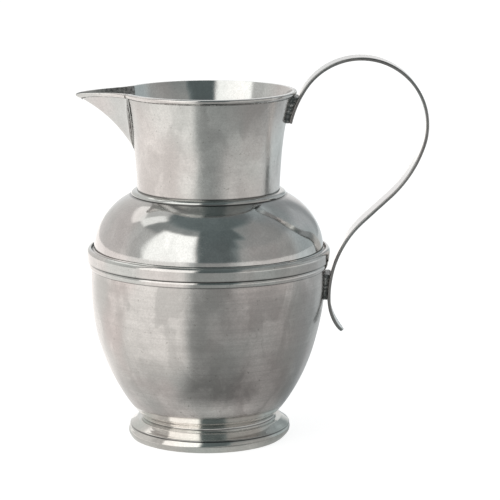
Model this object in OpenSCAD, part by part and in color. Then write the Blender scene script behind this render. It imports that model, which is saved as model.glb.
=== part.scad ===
// Pewter pitcher: a footed jug with a drawn-out pouring lip and a bent strap handle.
// The origin is the middle of the face that it stands on, +Z is up, the handle is at +X
// and the spout at -X. All sizes are in millimetres.

/* [Foot] */
// Widest radius of the rolled edge that the jug stands on
foot_r = 46.5; // [44:0.1:56]
// Height of the foot, from the table up to the bowl
foot_h = 13.6; // [12.5:0.1:20]
// Height of the rolled edge
foot_roll_h = 6.5; // [4.5:0.1:7.5]
// How far the rolled edge is drawn in under its widest line
foot_tuck = 2.1; // [0.6:0.1:3.2]
// How far the foot's side stands back from the rolled edge
foot_step = 0.5; // [0.3:0.1:1.6]
// Depth of the turned groove between the two
foot_groove = 0.5; // [0.2:0.05:0.8]
// Height of the short upright neck under the bowl
foot_neck_h = 1.8; // [0.8:0.1:3]
// Wall of the foot
foot_wall = 2.4; // [1.6:0.1:3]
// Width of the flange that carries the bowl, inward from the waist
foot_flange_w = 3.6; // [3.1:0.1:11]

/* [Bowl] */
// Outer radius at the waist, where the bowl stands on the foot
waist_r = 39.6; // [39:0.1:41.5]
// Height of the hollow curve above the waist
waist_h = 2.1; // [1:0.1:6]
// How far the hollow curve spreads
waist_spread = 1.7; // [0.5:0.1:3]
// Slope of the bowl where the hollow curve ends, from the vertical
waist_angle = 41; // [34:0.5:46]
// Outer radius of the belly
belly_r = 66.9; // [60:0.1:76]
// Height of the bowl, from the foot to the girth moulding
bowl_h = 85.5; // [70:0.1:110]
// Wall of the bowl
bowl_wall = 1.8; // [1.2:0.1:2.6]
// Thickness of the floor
floor_t = 2.2; // [1.5:0.1:4]
// Radius of the corner between the floor and the wall, inside
floor_round = 6; // [3:0.5:10]

/* [Girth moulding] */
// How far the bead stands out from the belly
bead_out = 1.3; // [0.6:0.1:2]
// Height of the bead
bead_h = 3.5; // [2:0.1:5]
// How far the wide band stands out from the belly
band_out = 2.5; // [1.6:0.1:4]
// Height of the wide band
band_h = 7.6; // [6:0.1:12]
// Height of the rounded upper edge of the band
band_round = 2.5; // [0.8:0.1:3]
// How much narrower the band is at its lower edge, in radius
band_taper = 0.4; // [0:0.05:0.8]

/* [Shoulder] */
// Height of the shoulder above the band
shoulder_h = 30.5; // [24:0.5:40]
// How much narrower the shoulder is than the belly, where it leaves the band
shoulder_step = 1.5; // [0.8:0.1:3]
// Wall of the shoulder
shoulder_wall = 1.8; // [1.2:0.1:2.4]
// Slope of the shoulder at the collar, from the vertical
crown_angle = 65; // [55:1:75]

/* [Neck] */
// Outer radius of the neck at its foot
neck_r = 40.4; // [36:0.1:44]
// Outer radius of the mouth
mouth_r = 49.1; // [46:0.1:54]
// Height of the neck, from the shoulder to the rim
neck_h = 58.8; // [48:0.5:75]
// Slope of the neck at the mouth, from the vertical
mouth_angle = 22; // [12:1:30]
// Wall of the neck
neck_wall = 1.7; // [1.2:0.1:2.2]
// How far the collar stands out from the neck
collar_out = 3.5; // [2:0.1:5]
// Height of the collar
collar_h = 2.5; // [1.5:0.1:4]
// How far the rim bead stands out from the mouth
rim_out = 1.3; // [0.7:0.1:2]
// Height of the rim bead
rim_h = 2.7; // [1.8:0.1:4]

/* [Spout] */
// Depth of the spout, from the rim down to its lowest point
spout_h = 34; // [24:0.5:42]
// Width of the spout where it leaves the mouth
spout_w = 40.6; // [30:0.5:46]
// Width of the spout at its lowest point
spout_root_w = 2.6; // [2:0.1:5]
// How far the tip reaches out from the mouth
spout_reach = 26.2; // [18:0.2:32]
// How far the spout's soldered edges stand proud of the neck
spout_lap = 1.8; // [0.4:0.1:2.4]
// How far the tip drops below the rim
spout_droop = 3.2; // [0:0.1:6]
// Wall of the spout
spout_wall = 1.9; // [1.5:0.1:2.4]
// How far the bead on the lip stands out at the tip
lip_out = 0.8; // [0.5:0.05:1.2]
// Height of the bead on the lip at the tip
lip_h = 1.8; // [1.2:0.1:2.6]

/* [Handle] */
// Width of the strap
strap_w = 17; // [12:0.5:20]
// Thickness of the strap
strap_t = 1.8; // [1.5:0.1:2.6]
// Radius of the strap's rounded edges
strap_edge = 0.55; // [0.3:0.05:0.7]
// How far below the rim the strap starts
handle_drop = 18; // [12:0.5:24]
// How far below the girth moulding the strap touches down on the belly
handle_seat_drop = 18.9; // [17:0.1:26]
// Slope of the strap at its upper end, from the horizontal
handle_lean = 77; // [75:0.1:79]
// Length of the solder pad behind the strap's upper end
top_pad_h = 14.6; // [8:0.2:16]
// Length of the solder pad between the strap and the belly
low_pad_h = 14.6; // [10:0.2:16]
// Least thickness of the pads
pad_t = 1.45; // [1:0.05:2]
// How much the pads stand back from the strap's edges
pad_inset = 0.5; // [0.2:0.1:2]

/* [Seats] */
// Film of solder left between curved faces
seat_gap = 0.1; // [0.05:0.05:0.3]

/* [Hidden] */

// A cut runs this far past the faces that it opens
overrun = 5;
// Roundness of whole turns, and points along one curve of an outline
$fn = 180;
curve_steps = 14;
round_steps = 6;

// Levels of the joints above the table
floor_z = foot_h + floor_t;
bead_z = foot_h + bowl_h;
band_z = bead_z + bead_h;
band_top_z = band_z + band_h;
// The shoulder stands on the bowl's edge behind the middle of the band
seam_share = 0.45;
seam_z = band_z + band_h * seam_share;
shoulder_r = belly_r - shoulder_step;
land_z = band_top_z + shoulder_h;
rim_z = land_z + neck_h;
spout_z = rim_z - spout_h;
collar_r = neck_r + collar_out;

// A cubic curve from a to d, with handles at b and c
function curve_point(a, b, c, d, t) =
    a * pow(1 - t, 3) + b * 3 * t * pow(1 - t, 2) + c * 3 * t * t * (1 - t) + d * pow(t, 3);
function curve(a, b, c, d, steps) = [for (i = [0:steps]) curve_point(a, b, c, d, i / steps)];
function flip(path) = [for (i = [len(path) - 1:-1:0]) path[i]];
function tail(path, first) = [for (i = [first:len(path) - 1]) path[i]];
// The same path moved sideways to its left by a distance
function beside(path, distance) = [
    for (i = [0:len(path) - 1])
        let (along = path[min(i + 1, len(path) - 1)] - path[max(i - 1, 0)])
        path[i] + distance * [-along.y, along.x] / norm(along)
];
// A heading measured from the vertical, leaning outwards
function leaning(angle) = [sin(angle), cos(angle)];
function swap(path) = [for (p = path) [p.y, p.x]];
// Half of an oval that bulges outwards, from its lower end to its upper end
function bulge(low, high, out, steps) = [
    for (i = [0:steps])
        let (a = -90 + 180 * i / steps)
        (low + high) / 2 + (high - low) / 2 * sin(a) + [out, 0] * cos(a)
];

// Outline of the bowl, from the waist up to its edge behind the band
waist_pull_share = 0.4;
belly_low_share = 0.2;
belly_high_share = 0.47;
// The top stretch of the bowl is upright, and this much of its height
upright_share = 0.07;
waist_low = [waist_r, foot_h];
waist_top = [waist_r + waist_spread, foot_h + waist_h];
belly = [belly_r, bead_z - bowl_h * upright_share];
belly_chord = norm(belly - waist_top);
bowl_side = concat(
    curve(
        waist_low,
        waist_low + [0, waist_h * waist_pull_share],
        waist_top - waist_h * waist_pull_share * leaning(waist_angle),
        waist_top,
        round_steps
    ),
    tail(curve(
        waist_top,
        waist_top + belly_chord * belly_low_share * leaning(waist_angle),
        belly - [0, belly_chord * belly_high_share],
        belly,
        curve_steps
    ), 1),
    [[belly_r, seam_z]]
);

// Outline of the shoulder above the band, up to its flat land under the neck
shoulder_low_share = 0.3;
shoulder_high_share = 0.414;
crown = [collar_r, land_z];
springing = [shoulder_r, band_top_z];
shoulder_chord = norm(crown - springing);
shoulder_side = curve(
    springing,
    springing + [0, shoulder_chord * shoulder_low_share],
    crown + shoulder_chord * shoulder_high_share * [sin(crown_angle), -cos(crown_angle)],
    crown,
    curve_steps
);

// Outline of the neck
neck_low_share = 0.4;
neck_high_share = 0.28;
neck_swell_share = 0.08;
neck_side = curve(
    [neck_r, land_z],
    [neck_r + (mouth_r - neck_r) * neck_swell_share, land_z + neck_h * neck_low_share],
    [mouth_r, rim_z] - neck_h * neck_high_share * leaning(mouth_angle),
    [mouth_r, rim_z],
    curve_steps
);
// Outer radius of the neck and of the bowl at a height
function neck_at(z) = lookup(z, swap(neck_side));
function bowl_at(z) = lookup(z, swap(bowl_side));

module turned(outline) {
    rotate_extrude() polygon(outline);
}

// The foot: a ring with a rolled edge, a groove, a rounded slope and a short upright neck,
// hollow underneath
widest_share = 0.68;
roll_low_share = 0.35;
roll_high_share = 0.7;
half_share = 0.5;
side_in_share = 0.05;
side_up_share = 0.28;
ledge_out_share = 0.44;
ledge_down_share = 0.1;
module foot() {
    base_r = foot_r - foot_tuck;
    side_r = foot_r - foot_step;
    side_z = foot_roll_h + foot_groove;
    ledge_z = foot_h - foot_neck_h;
    run = side_r - waist_r;
    rise = ledge_z - side_z;
    widest_z = foot_roll_h * widest_share;
    under = curve(
        [base_r, 0],
        [base_r + foot_tuck * half_share, widest_z * roll_low_share],
        [foot_r, widest_z * roll_high_share],
        [foot_r, widest_z],
        round_steps
    );
    over = curve(
        [foot_r, widest_z],
        [foot_r, widest_z + (foot_roll_h - widest_z) * roll_high_share],
        [side_r, foot_roll_h],
        [side_r - foot_groove, foot_roll_h],
        round_steps
    );
    side = curve(
        [side_r, side_z],
        [side_r - run * side_in_share, side_z + rise * side_up_share],
        [waist_r + run * ledge_out_share, ledge_z - rise * ledge_down_share],
        [waist_r, ledge_z],
        curve_steps
    );
    hollow_r = base_r - foot_wall;
    flange_r = waist_r - foot_flange_w;
    hollow = curve(
        [hollow_r, foot_roll_h * half_share],
        [hollow_r, side_z],
        [hollow_r, ledge_z - foot_wall],
        [waist_r - foot_wall, ledge_z - foot_wall],
        round_steps
    );
    color([0.60, 0.60, 0.59]) turned(concat(
        under,
        tail(over, 1),
        side,
        [[waist_r, foot_h], [flange_r, foot_h], [flange_r, ledge_z - foot_wall]],
        flip(hollow),
        [[hollow_r, 0]]
    ));
}

// The bowl: the lower shell with its floor, up to the seam behind the band
corner_in_share = 0.5;
corner_up_share = 0.33;
corner_run = 2;
module bowl() {
    inside = [for (p = beside(bowl_side, bowl_wall)) if (p.y > floor_z + floor_round) p];
    corner = curve(
        inside[0],
        [inside[0].x - floor_round * corner_in_share, floor_z + floor_round * corner_up_share],
        [inside[0].x - floor_round, floor_z],
        [inside[0].x - floor_round * corner_run, floor_z],
        round_steps
    );
    color([0.56, 0.56, 0.55]) turned(concat(
        [[0, foot_h]],
        bowl_side,
        flip(inside),
        tail(corner, 1),
        [[0, floor_z]]
    ));
}

// The thin bead under the band: part of its depth is upright, the rest is rounded
bead_foot_share = 0.33;
module girth_bead() {
    inner_r = belly_r + seat_gap;
    color([0.66, 0.66, 0.65]) turned(concat(
        [[inner_r, bead_z]],
        bulge(
            [inner_r + bead_out * bead_foot_share, bead_z],
            [inner_r + bead_out * bead_foot_share, band_z],
            bead_out * (1 - bead_foot_share),
            round_steps * 2
        ),
        [[inner_r, band_z]]
    ));
}

// The wide band that covers the seam between the bowl and the shoulder
brow_up_share = 0.67;
brow_in_share = 0.5;
brow_end_share = 0.25;
module girth_band() {
    inner_r = belly_r + seat_gap;
    outer_r = belly_r + band_out;
    brow = curve(
        [outer_r, band_top_z - band_round],
        [outer_r, band_top_z - band_round * (1 - brow_up_share)],
        [outer_r - band_round * brow_in_share, band_top_z],
        [inner_r + (outer_r - inner_r) * brow_end_share, band_top_z],
        round_steps
    );
    color([0.62, 0.62, 0.61]) turned(concat(
        [[inner_r, band_z], [outer_r - band_taper, band_z]],
        brow,
        [[inner_r, band_top_z]]
    ));
}

// The shoulder: a dome that stands on the bowl's edge and carries the neck on a flat land
module shoulder() {
    hole_r = neck_r - neck_wall;
    skirt_z = band_top_z - shoulder_step;
    inside = beside(shoulder_side, shoulder_wall);
    color([0.52, 0.54, 0.54]) turned(concat(
        [[belly_r, seam_z], [belly_r, skirt_z]],
        shoulder_side,
        [[hole_r, land_z], [hole_r, inside[len(inside) - 1].y]],
        flip(inside),
        [[belly_r - bowl_wall, skirt_z - shoulder_wall], [belly_r - bowl_wall, seam_z]]
    ));
}

// The moulded ring at the foot of the neck
collar_swell_share = 0.125;
collar_tuck_share = 0.33;
module collar() {
    inner_r = neck_at(land_z + collar_h) + seat_gap;
    color([0.68, 0.68, 0.67]) turned(concat(
        [[inner_r, land_z]],
        curve(
            [collar_r, land_z],
            [collar_r + collar_out * collar_swell_share, land_z + collar_h * half_share],
            [collar_r - collar_out * collar_tuck_share, land_z + collar_h],
            [inner_r, land_z + collar_h],
            round_steps * 2
        )
    ));
}

// The opening cut through the neck for the spout: upright sides that lean apart
module spout_gap() {
    rotate([90, 0, -90]) linear_extrude(mouth_r + overrun) polygon([
        [-spout_root_w / 2, spout_z],
        [spout_root_w / 2, spout_z],
        [root_half(rim_z + overrun), rim_z + overrun],
        [-root_half(rim_z + overrun), rim_z + overrun]
    ]);
}

// The neck: a tube that flares to the mouth, cut away for the spout
module neck() {
    inside = beside(neck_side, neck_wall);
    color([0.66, 0.65, 0.63]) difference() {
        turned(concat(
            neck_side,
            [[inside[len(inside) - 1].x, rim_z]],
            tail(flip(inside), 1),
            [[neck_r - neck_wall, land_z]]
        ));
        spout_gap();
    }
}

// Half of the angle that the spout takes out of the mouth
spout_half_angle = asin(spout_w / 2 / mouth_r);

// The bead round the mouth, open where the spout leaves
module rim_bead() {
    low = [neck_at(rim_z - rim_h) + seat_gap, rim_z - rim_h];
    high = [mouth_r + seat_gap, rim_z];
    turn = 360 - 2 * spout_half_angle;
    color([0.72, 0.72, 0.70]) rotate([0, 0, spout_half_angle - 180])
        rotate_extrude(angle = turn)
            polygon(bulge(low, high, rim_out, round_steps * 2));
}

// The spout's measures at a height: depth as a share, half width at the root, reach
function depth_share(z) = (z - spout_z) / spout_h;
function root_half(z) = spout_root_w / 2 + (spout_w - spout_root_w) / 2 * depth_share(z);
// The keel leaves the neck steadily and sweeps out towards the tip
keel_share = 0.56;
function keel(s) = keel_share * s + (1 - keel_share) * pow(s, 3);
tip_share = 1 - spout_droop / spout_h;
function reach(z) = spout_reach * keel(depth_share(z)) / keel(tip_share);

// The spout's edges stand proud of the neck, but not at the lowest point or at the rim
function lap(z) = spout_lap * (1 - pow(2 * depth_share(z) - 1, 4));

// Half of the spout's plan at a height: t is 0 at the neck and 1 at the nose
root_pull_share = 0.5;
nose_pull_share = 0.2;
function half_plan(z, t) =
    let (
        half = root_half(z),
        r = neck_at(z) + lap(z),
        a = asin(half / r),
        root = [-r * cos(a), half],
        nose = [-neck_at(z) - reach(z), 0],
        pull = min(half, reach(z) - lap(z))
    )
    curve_point(
        root,
        root - pull * root_pull_share * [sin(a), cos(a)],
        nose + [0, half * nose_pull_share],
        nose,
        t
    );
// The wall is shifted towards the axis, from the neck's own wall to the spout's
function half_plan_inside(z, t) =
    let (
        half = root_half(z),
        inner_r = neck_at(z) - neck_wall,
        root_x = -sqrt(inner_r * inner_r - half * half),
        p = half_plan(z, t)
    )
    p + [(root_x - half_plan(z, 0).x) * (1 - t) + spout_wall * t, 0];
// Height of the lip, which drops towards the tip
droop_power = 2.4;
function lip_z(t) = rim_z - spout_droop * pow(t, droop_power);

spout_levels = 12;
spout_stations = 12;
// One upright section of the spout's wall, up the outside and down the inside
function spout_section(t, side) = concat(
    [for (i = [0:spout_levels])
        let (z = spout_z + (lip_z(t) - spout_z) * i / spout_levels, p = half_plan(z, t))
        [p.x, p.y * side, z]],
    [for (i = [spout_levels:-1:0])
        let (
            z = spout_z + (lip_z(t) - spout_z) * i / spout_levels,
            p = half_plan_inside(z, t)
        )
        [p.x, p.y * side, z]]
);
// The two sides of the spout, from one root over the nose to the other
function both_sides(stations) = concat(
    [for (i = [0:stations]) [i / stations, 1]],
    [for (i = [stations - 1:-1:0]) [i / stations, -1]]
);

// A solid skin over closed sections of equal counts, with flat ends
module loft(sections) {
    count = len(sections[0]);
    last = len(sections) - 1;
    half = count / 2;
    polyhedron(
        points = [for (s = sections) each s],
        faces = concat(
            [for (k = [0:last - 1], i = [0:count - 1]) let (j = (i + 1) % count) each [
                [k * count + i, k * count + j, (k + 1) * count + i],
                [k * count + j, (k + 1) * count + j, (k + 1) * count + i]
            ]],
            [for (i = [0:half - 2]) each [
                [i, count - 1 - i, i + 1],
                [i + 1, count - 1 - i, count - 2 - i]
            ]],
            [for (i = [0:half - 2]) let (o = last * count) each [
                [o + i, o + i + 1, o + count - 1 - i],
                [o + i + 1, o + count - 2 - i, o + count - 1 - i]
            ]]
        ),
        convexity = 4
    );
}

// The spout: a drawn-out beak that fills the opening in the neck
module spout() {
    color([0.64, 0.63, 0.62])
        loft([for (s = both_sides(spout_stations)) spout_section(s[0], s[1])]);
}

// One section of the bead on the lip, against the outside of the spout
lip_round = 8;
nudge_share = 0.01;
function lip_section(t, side) =
    let (
        height = rim_h + (lip_h - rim_h) * t,
        out = rim_out + (lip_out - rim_out) * t,
        top_z = lip_z(t),
        low = half_plan(top_z - height, t),
        high = half_plan(top_z, t),
        after = half_plan(top_z, min(t + nudge_share, 1)),
        step = after - half_plan(top_z, max(t - nudge_share, 0)),
        along = t == 1 ? [0, -1] : step / norm(step),
        outward = [along.y, -along.x],
        low_edge = [low.x, low.y, top_z - height],
        high_edge = [high.x, high.y, top_z],
        outward_3d = [outward.x, outward.y, 0]
    )
    [for (i = [0:lip_round - 1])
        let (
            a = -90 + 180 * i / (lip_round - 1),
            p = (low_edge + high_edge) / 2 + (high_edge - low_edge) / 2 * sin(a)
                + outward_3d * (seat_gap + out * cos(a))
        )
        [p.x, p.y * side, p.z]];

// The bead that carries the rim bead on along both lips of the spout
module lip_bead() {
    color([0.72, 0.72, 0.70])
        loft([for (s = both_sides(spout_stations * 2)) lip_section(s[0], s[1])]);
}

// The handle's bends, from the neck round the grip and down to the belly: the radius of each
// as a share of the handle's size, and its turn, clockwise when positive
bend_radius_shares = [0.599, 0.375, 0.695, 0.598, 0.286];
bend_turns = [20.3, 165.2, 28.8, -48.8, -34.8];
// The straight stretch comes before this bend, and the last bend is the free tail
straight_before = 3;
tail_bend = 4;
hair_share = 0.05;
sink_angle = 0.4;
// A place on the strap's middle line is its x, its z and its heading
function bend_centre(p, r, turn) = [p[0], p[1]] + sign(turn) * r * [sin(p[2]), -cos(p[2])];
function bend_end(p, r, turn) =
    let (c = bend_centre(p, r, turn), heading = p[2] - turn)
    [
        c.x - sign(turn) * r * sin(heading),
        c.y + sign(turn) * r * cos(heading),
        heading
    ];
function go_on(p, length) = [p[0] + length * cos(p[2]), p[1] + length * sin(p[2]), p[2]];
function bend_start(i, start, size, straight) =
    i == 0 ? start
        : let (
            before = bend_start(i - 1, start, size, straight),
            reached = bend_end(before, bend_radius_shares[i - 1] * size, bend_turns[i - 1])
        )
        i == straight_before ? go_on(reached, straight) : reached;

// Where the strap's middle line leaves the neck and where it touches down on the belly
strap_top_z = rim_z - handle_drop;
low_seat_z = bead_z - handle_seat_drop;
top_seat = [neck_at(strap_top_z) + pad_t + strap_t / 2, strap_top_z];
low_seat = [bowl_at(low_seat_z) + pad_t + strap_t / 2, low_seat_z];
handle_start = [top_seat.x, top_seat.y, handle_lean];
// The bends of a handle of unit size and the heading of its straight stretch give the size
// and the length of that stretch with which the real one meets both seats
unit_seat = bend_start(tail_bend, [0, 0, handle_lean], 1, 0);
unit_way = bend_start(straight_before, [0, 0, handle_lean], 1, 0)[2];
seat_line = low_seat - top_seat;
function cross_2d(a, b) = a[0] * b[1] - a[1] * b[0];
straight_way = [cos(unit_way), sin(unit_way)];
handle_size = cross_2d(seat_line, straight_way) / cross_2d(unit_seat, straight_way);
straight_l = cross_2d(unit_seat, seat_line) / cross_2d(unit_seat, straight_way);
function bend_place(i) = bend_start(i, handle_start, handle_size, straight_l);
function bend_radius(i) = bend_radius_shares[i] * handle_size;

// Section of the strap at a radius: flat, with rounded edges
function strap_outline(r, t, w, edge) = [
    for (q = [0:3], i = [0:round_steps])
        let (
            a = q * 90 + 90 * i / round_steps,
            sx = (q == 0 || q == 3) ? 1 : -1,
            sy = (q < 2) ? 1 : -1
        )
        [
            r + sx * (t / 2 - edge) + edge * cos(a),
            sy * (w / 2 - edge) + edge * sin(a)
        ]
];

// Lays a shape drawn round +Z over to turn about a cross axis at a bend's centre
module at_bend(i) {
    p = bend_place(i);
    c = bend_centre(p, bend_radius(i), bend_turns[i]);
    turn = bend_turns[i];
    first = turn > 0 ? p[2] + 90 - turn : p[2] - 90;
    translate([c.x, 0, c.y]) rotate([90, 0, 0]) rotate([0, 0, first]) children();
}

// Every second stretch is drawn a hair thinner and longer, so that its ends sink into the
// others. The straight stretch counts as one of them.
hair_t = strap_edge * hair_share;
module strap_bend(i) {
    thinner = i < straight_before ? i % 2 == 0 : i % 2 == 1;
    hair = thinner ? hair_t : 0;
    sink = thinner ? sink_angle : 0;
    at_bend(i) rotate([0, 0, -sink]) rotate_extrude(angle = abs(bend_turns[i]) + 2 * sink)
        polygon(strap_outline(
            bend_radius(i),
            strap_t - hair,
            strap_w - hair,
            strap_edge - hair / 2
        ));
}

module strap_straight() {
    p = bend_place(straight_before);
    translate([p[0], 0, p[1]]) rotate([0, 90 - p[2], 0]) mirror([0, 0, 1])
        linear_extrude(straight_l) polygon(strap_outline(0, strap_t, strap_w, strap_edge));
}

// Rounds off the strap's free end, seen square to its face
module tail_corners() {
    end = bend_end(bend_place(tail_bend), bend_radius(tail_bend), bend_turns[tail_bend]);
    round_r = strap_w / 2;
    translate([end[0], 0, end[1]]) rotate([0, -end[2], 0]) difference() {
        translate([-round_r, -strap_w, -round_r]) cube([round_r * 2, strap_w * 2, round_r * 2]);
        translate([-round_r, 0, -strap_w]) cylinder(r = round_r, h = strap_w * 2);
    }
}

// The handle: one strap bent through five arcs, with a straight stretch below the grip
module handle() {
    color([0.60, 0.60, 0.59]) difference() {
        union() {
            for (i = [0:len(bend_turns) - 1]) strap_bend(i);
            strap_straight();
        }
        tail_corners();
    }
}

// The space behind the strap's bend, from its face back to the jug
back_share = 0.25;
module behind_bend(i, low_z, height, back) {
    $fn = 360;
    p = bend_place(i);
    r = bend_radius(i);
    c = bend_centre(p, r, bend_turns[i]);
    width = strap_w - 2 * pad_inset;
    difference() {
        translate([c.x - r - back, -width / 2, low_z]) cube([r + back, width, height]);
        translate([c.x, width, c.y]) rotate([90, 0, 0])
            cylinder(r = r + strap_t / 2 + seat_gap, h = width * 2);
    }
}

// The wedge of solder between the neck and the strap's upper end
module handle_top_pad() {
    $fn = 360;
    color([0.34, 0.35, 0.35]) difference() {
        behind_bend(0, strap_top_z, top_pad_h, mouth_r * back_share);
        turned(concat(beside(neck_side, -seat_gap), [[0, rim_z], [0, land_z]]));
    }
}

// The wedge of solder between the belly and the strap
module handle_low_pad() {
    $fn = 360;
    color([0.34, 0.35, 0.35]) difference() {
        behind_bend(tail_bend - 1, low_seat_z, low_pad_h, belly_r * back_share);
        turned(concat(beside(bowl_side, -seat_gap), [[0, seam_z], [0, foot_h]]));
    }
}

foot();
bowl();
girth_bead();
girth_band();
shoulder();
collar();
neck();
rim_bead();
spout();
lip_bead();
handle();
handle_top_pad();
handle_low_pad();
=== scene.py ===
"""Looks of the pewter pitcher: smooth turned shells, a bent strap handle, solder seams and satin
pewter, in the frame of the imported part. The shapes are in millimetres up to make(), which turns
them into metres. Materials, studio and camera are in metres."""

import math

import bpy
import numpy as np
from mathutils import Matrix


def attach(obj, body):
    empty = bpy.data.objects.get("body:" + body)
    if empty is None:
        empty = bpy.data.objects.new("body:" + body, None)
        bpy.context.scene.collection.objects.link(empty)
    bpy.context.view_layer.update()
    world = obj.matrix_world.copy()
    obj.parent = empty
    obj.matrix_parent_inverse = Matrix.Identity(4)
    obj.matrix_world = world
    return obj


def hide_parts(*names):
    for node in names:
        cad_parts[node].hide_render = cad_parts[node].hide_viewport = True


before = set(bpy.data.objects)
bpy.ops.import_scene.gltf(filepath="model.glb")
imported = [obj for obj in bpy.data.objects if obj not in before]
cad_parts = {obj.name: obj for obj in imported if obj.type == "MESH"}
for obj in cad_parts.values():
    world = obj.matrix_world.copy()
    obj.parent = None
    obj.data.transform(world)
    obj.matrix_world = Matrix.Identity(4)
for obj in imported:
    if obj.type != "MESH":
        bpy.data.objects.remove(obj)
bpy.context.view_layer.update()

MM = 0.001
# Facets round a turned piece, and round the two rings of the girth
SEGMENTS = 224
GIRTH_SEGMENTS = 256

# The sizes are the part's own, except that the foot is lower and slimmer at the waist, as the
# photograph shows it, and the bowl reaches down to it

# Foot: a rolled edge, drawn in by the tuck under its widest line, a groove and a slope that stands
# back by the step
FOOT_R = 46.5
FOOT_H = 12.0
ROLL_H = 6.5
TUCK = 2.1
STEP = 0.5
GROOVE = 0.5
FOOT_NECK_H = 1.5
FOOT_WALL = 2.4
FLANGE_R = 36.0
# How softly its edges turn, and the solder in the corner at its neck
FOOT_SOFT = 0.5
FOOT_FILLET = 0.3

# Bowl
WAIST_R = 38.7
WAIST_H = 3.7
WAIST_SPREAD = 2.6
WAIST_ANGLE = 41.0
BELLY_R = 66.9
BOWL_H = 87.1
BOWL_WALL = 1.8
FLOOR_T = 2.2
FLOOR_ROUND = 6.0

# Girth moulding
BEAD_OUT = 1.3
BEAD_H = 3.5
BAND_OUT = 2.5
BAND_H = 7.6
BAND_ROUND = 2.5
BAND_TAPER = 0.4
# How far its lower edge is rounded
BAND_LIP = 0.5

# Shoulder and collar
SHOULDER_H = 30.5
SHOULDER_STEP = 1.5
SHOULDER_WALL = 1.8
CROWN_ANGLE = 65.0
COLLAR_OUT = 3.5
COLLAR_H = 2.5

# Neck and the bead round its mouth
NECK_R = 40.4
MOUTH_R = 49.1
NECK_H = 58.8
MOUTH_ANGLE = 22.0
NECK_WALL = 1.7
RIM_OUT = 1.3
RIM_H = 2.7

# Spout and the bead on its lips
SPOUT_H = 34.0
SPOUT_W = 40.6
ROOT_W = 2.6
REACH = 26.2
SPOUT_LAP = 1.8
DROOP = 3.2
SPOUT_WALL = 1.9
LIP_OUT = 0.8
LIP_H = 1.8

# Handle: the radii are shares of its size, and the turns are in degrees
STRAP_W = 17.0
STRAP_T = 1.8
STRAP_EDGE = 0.55
# Half the width that is left at the very end
STRAP_TIP = 0.3
DROP = 18.0
SEAT_DROP = 18.9
LEAN = 77.0
BEND_RADII_SHARES = [0.599, 0.375, 0.695, 0.598, 0.286]
BEND_TURNS = [20.3, 165.2, 28.8, -48.8, -43.0]
# The strap's straight stretch comes before this bend
STRAIGHT_BEFORE = 3
# The strap lies on the belly along this bend, and its seat is where the bend ends
LOW_SEAT_BEND = 3
# Points on each rounded edge of the strap's section, and between the edges on each flat face
EDGE_POINTS = 7
FACE_POINTS = 4

# Solder pads: how far they are sunk into the jug, hollowed at their sides and ragged there
TOP_PAD_H = 14.6
LOW_PAD_H = 14.6
PAD_T = 1.45
PAD_INSET = 0.5
PAD_SUNK = 0.6
PAD_DIP = 0.5
PAD_RAGGED = 0.2
# Film of solder between curved faces, the cord in the spout's seam and the dark cord of painted shadow under
# the beads
SEAT_GAP = 0.1
SEAM_R = 0.75
SEAM_THIN_H = 12.0
BEAD_SHADOW_R = 0.34

# Heights and radii that follow
FLOOR_Z = FOOT_H + FLOOR_T
BEAD_Z = FOOT_H + BOWL_H
BAND_Z = BEAD_Z + BEAD_H
BAND_TOP = BAND_Z + BAND_H
SEAM_Z = BAND_Z + BAND_H * 0.45
LAND_Z = BAND_TOP + SHOULDER_H
RIM_Z = LAND_Z + NECK_H
SPOUT_Z = RIM_Z - SPOUT_H
COLLAR_R = NECK_R + COLLAR_OUT
SHOULDER_R = BELLY_R - SHOULDER_STEP
STRAP_TOP_Z = RIM_Z - DROP
LOW_SEAT_Z = BEAD_Z - SEAT_DROP


def bezier(a, b, c, d, t):
    return a * (1 - t) ** 3 + 3 * b * (1 - t) ** 2 * t + 3 * c * (1 - t) * t * t + d * t**3


def curve(a, b, c, d, n):
    """n + 1 points along a curve from a to d, drawn towards b and c on its way."""
    a, b, c, d = (np.array(p, float) for p in (a, b, c, d))
    return bezier(a, b, c, d, np.linspace(0, 1, n + 1)[:, None])


def beside(path, distance):
    """The path moved to its left."""
    last = len(path) - 1
    along = np.array([path[min(i + 1, last)] - path[max(i - 1, 0)] for i in range(last + 1)])
    along /= np.linalg.norm(along, axis=1)[:, None]
    return path + distance * np.stack([-along[:, 1], along[:, 0]], 1)


def leaning(angle):
    """A step of one, outward and upward, at an angle from the vertical."""
    return np.array([math.sin(math.radians(angle)), math.cos(math.radians(angle))])


def bulge(low, high, out, n):
    """Half an ellipse from low to high that stands out from their chord."""
    a = np.linspace(-math.pi / 2, math.pi / 2, n + 1)[:, None]
    low, high = np.array(low, float), np.array(high, float)
    return (low + high) / 2 + (high - low) / 2 * np.sin(a) + np.array([out, 0.0]) * np.cos(a)


def straight(a, b, n):
    return np.linspace(np.array(a, float), np.array(b, float), n + 1)


# Foot and bowl sit a little off the axis: heights, and how far to the handle's side they lie there
LEAN_Z = [0, 2, 5, 9, 13, 60, 95]
LEAN_X = [-0.9, -0.5, 0.25, 0.25, -0.65, -0.95, 0]
# Waves round the turned shells: their depth, how many go round, their twist with height, their start
WAVES = [(0.05, 3, 0.041, 0.6), (0.045, 7, -0.063, 2.1), (0.028, 13, 0.11, 4.0), (0.018, 23, -0.19, 1.3)]
# The unevenness fades out between these radii, and the flat middles stay true
CALM_R = 20.0
UNEVEN_R = 35.0


def wobble(x, y, z):
    """Hand-made unevenness of the turned shells: how far a point lies outside its true circle."""
    a = np.arctan2(y, x)
    waves = sum(depth * np.sin(count * a + twist * z + start) for depth, count, twist, start in WAVES)
    return np.interp(z, LEAN_Z, LEAN_X) * np.cos(a) + waves


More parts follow.
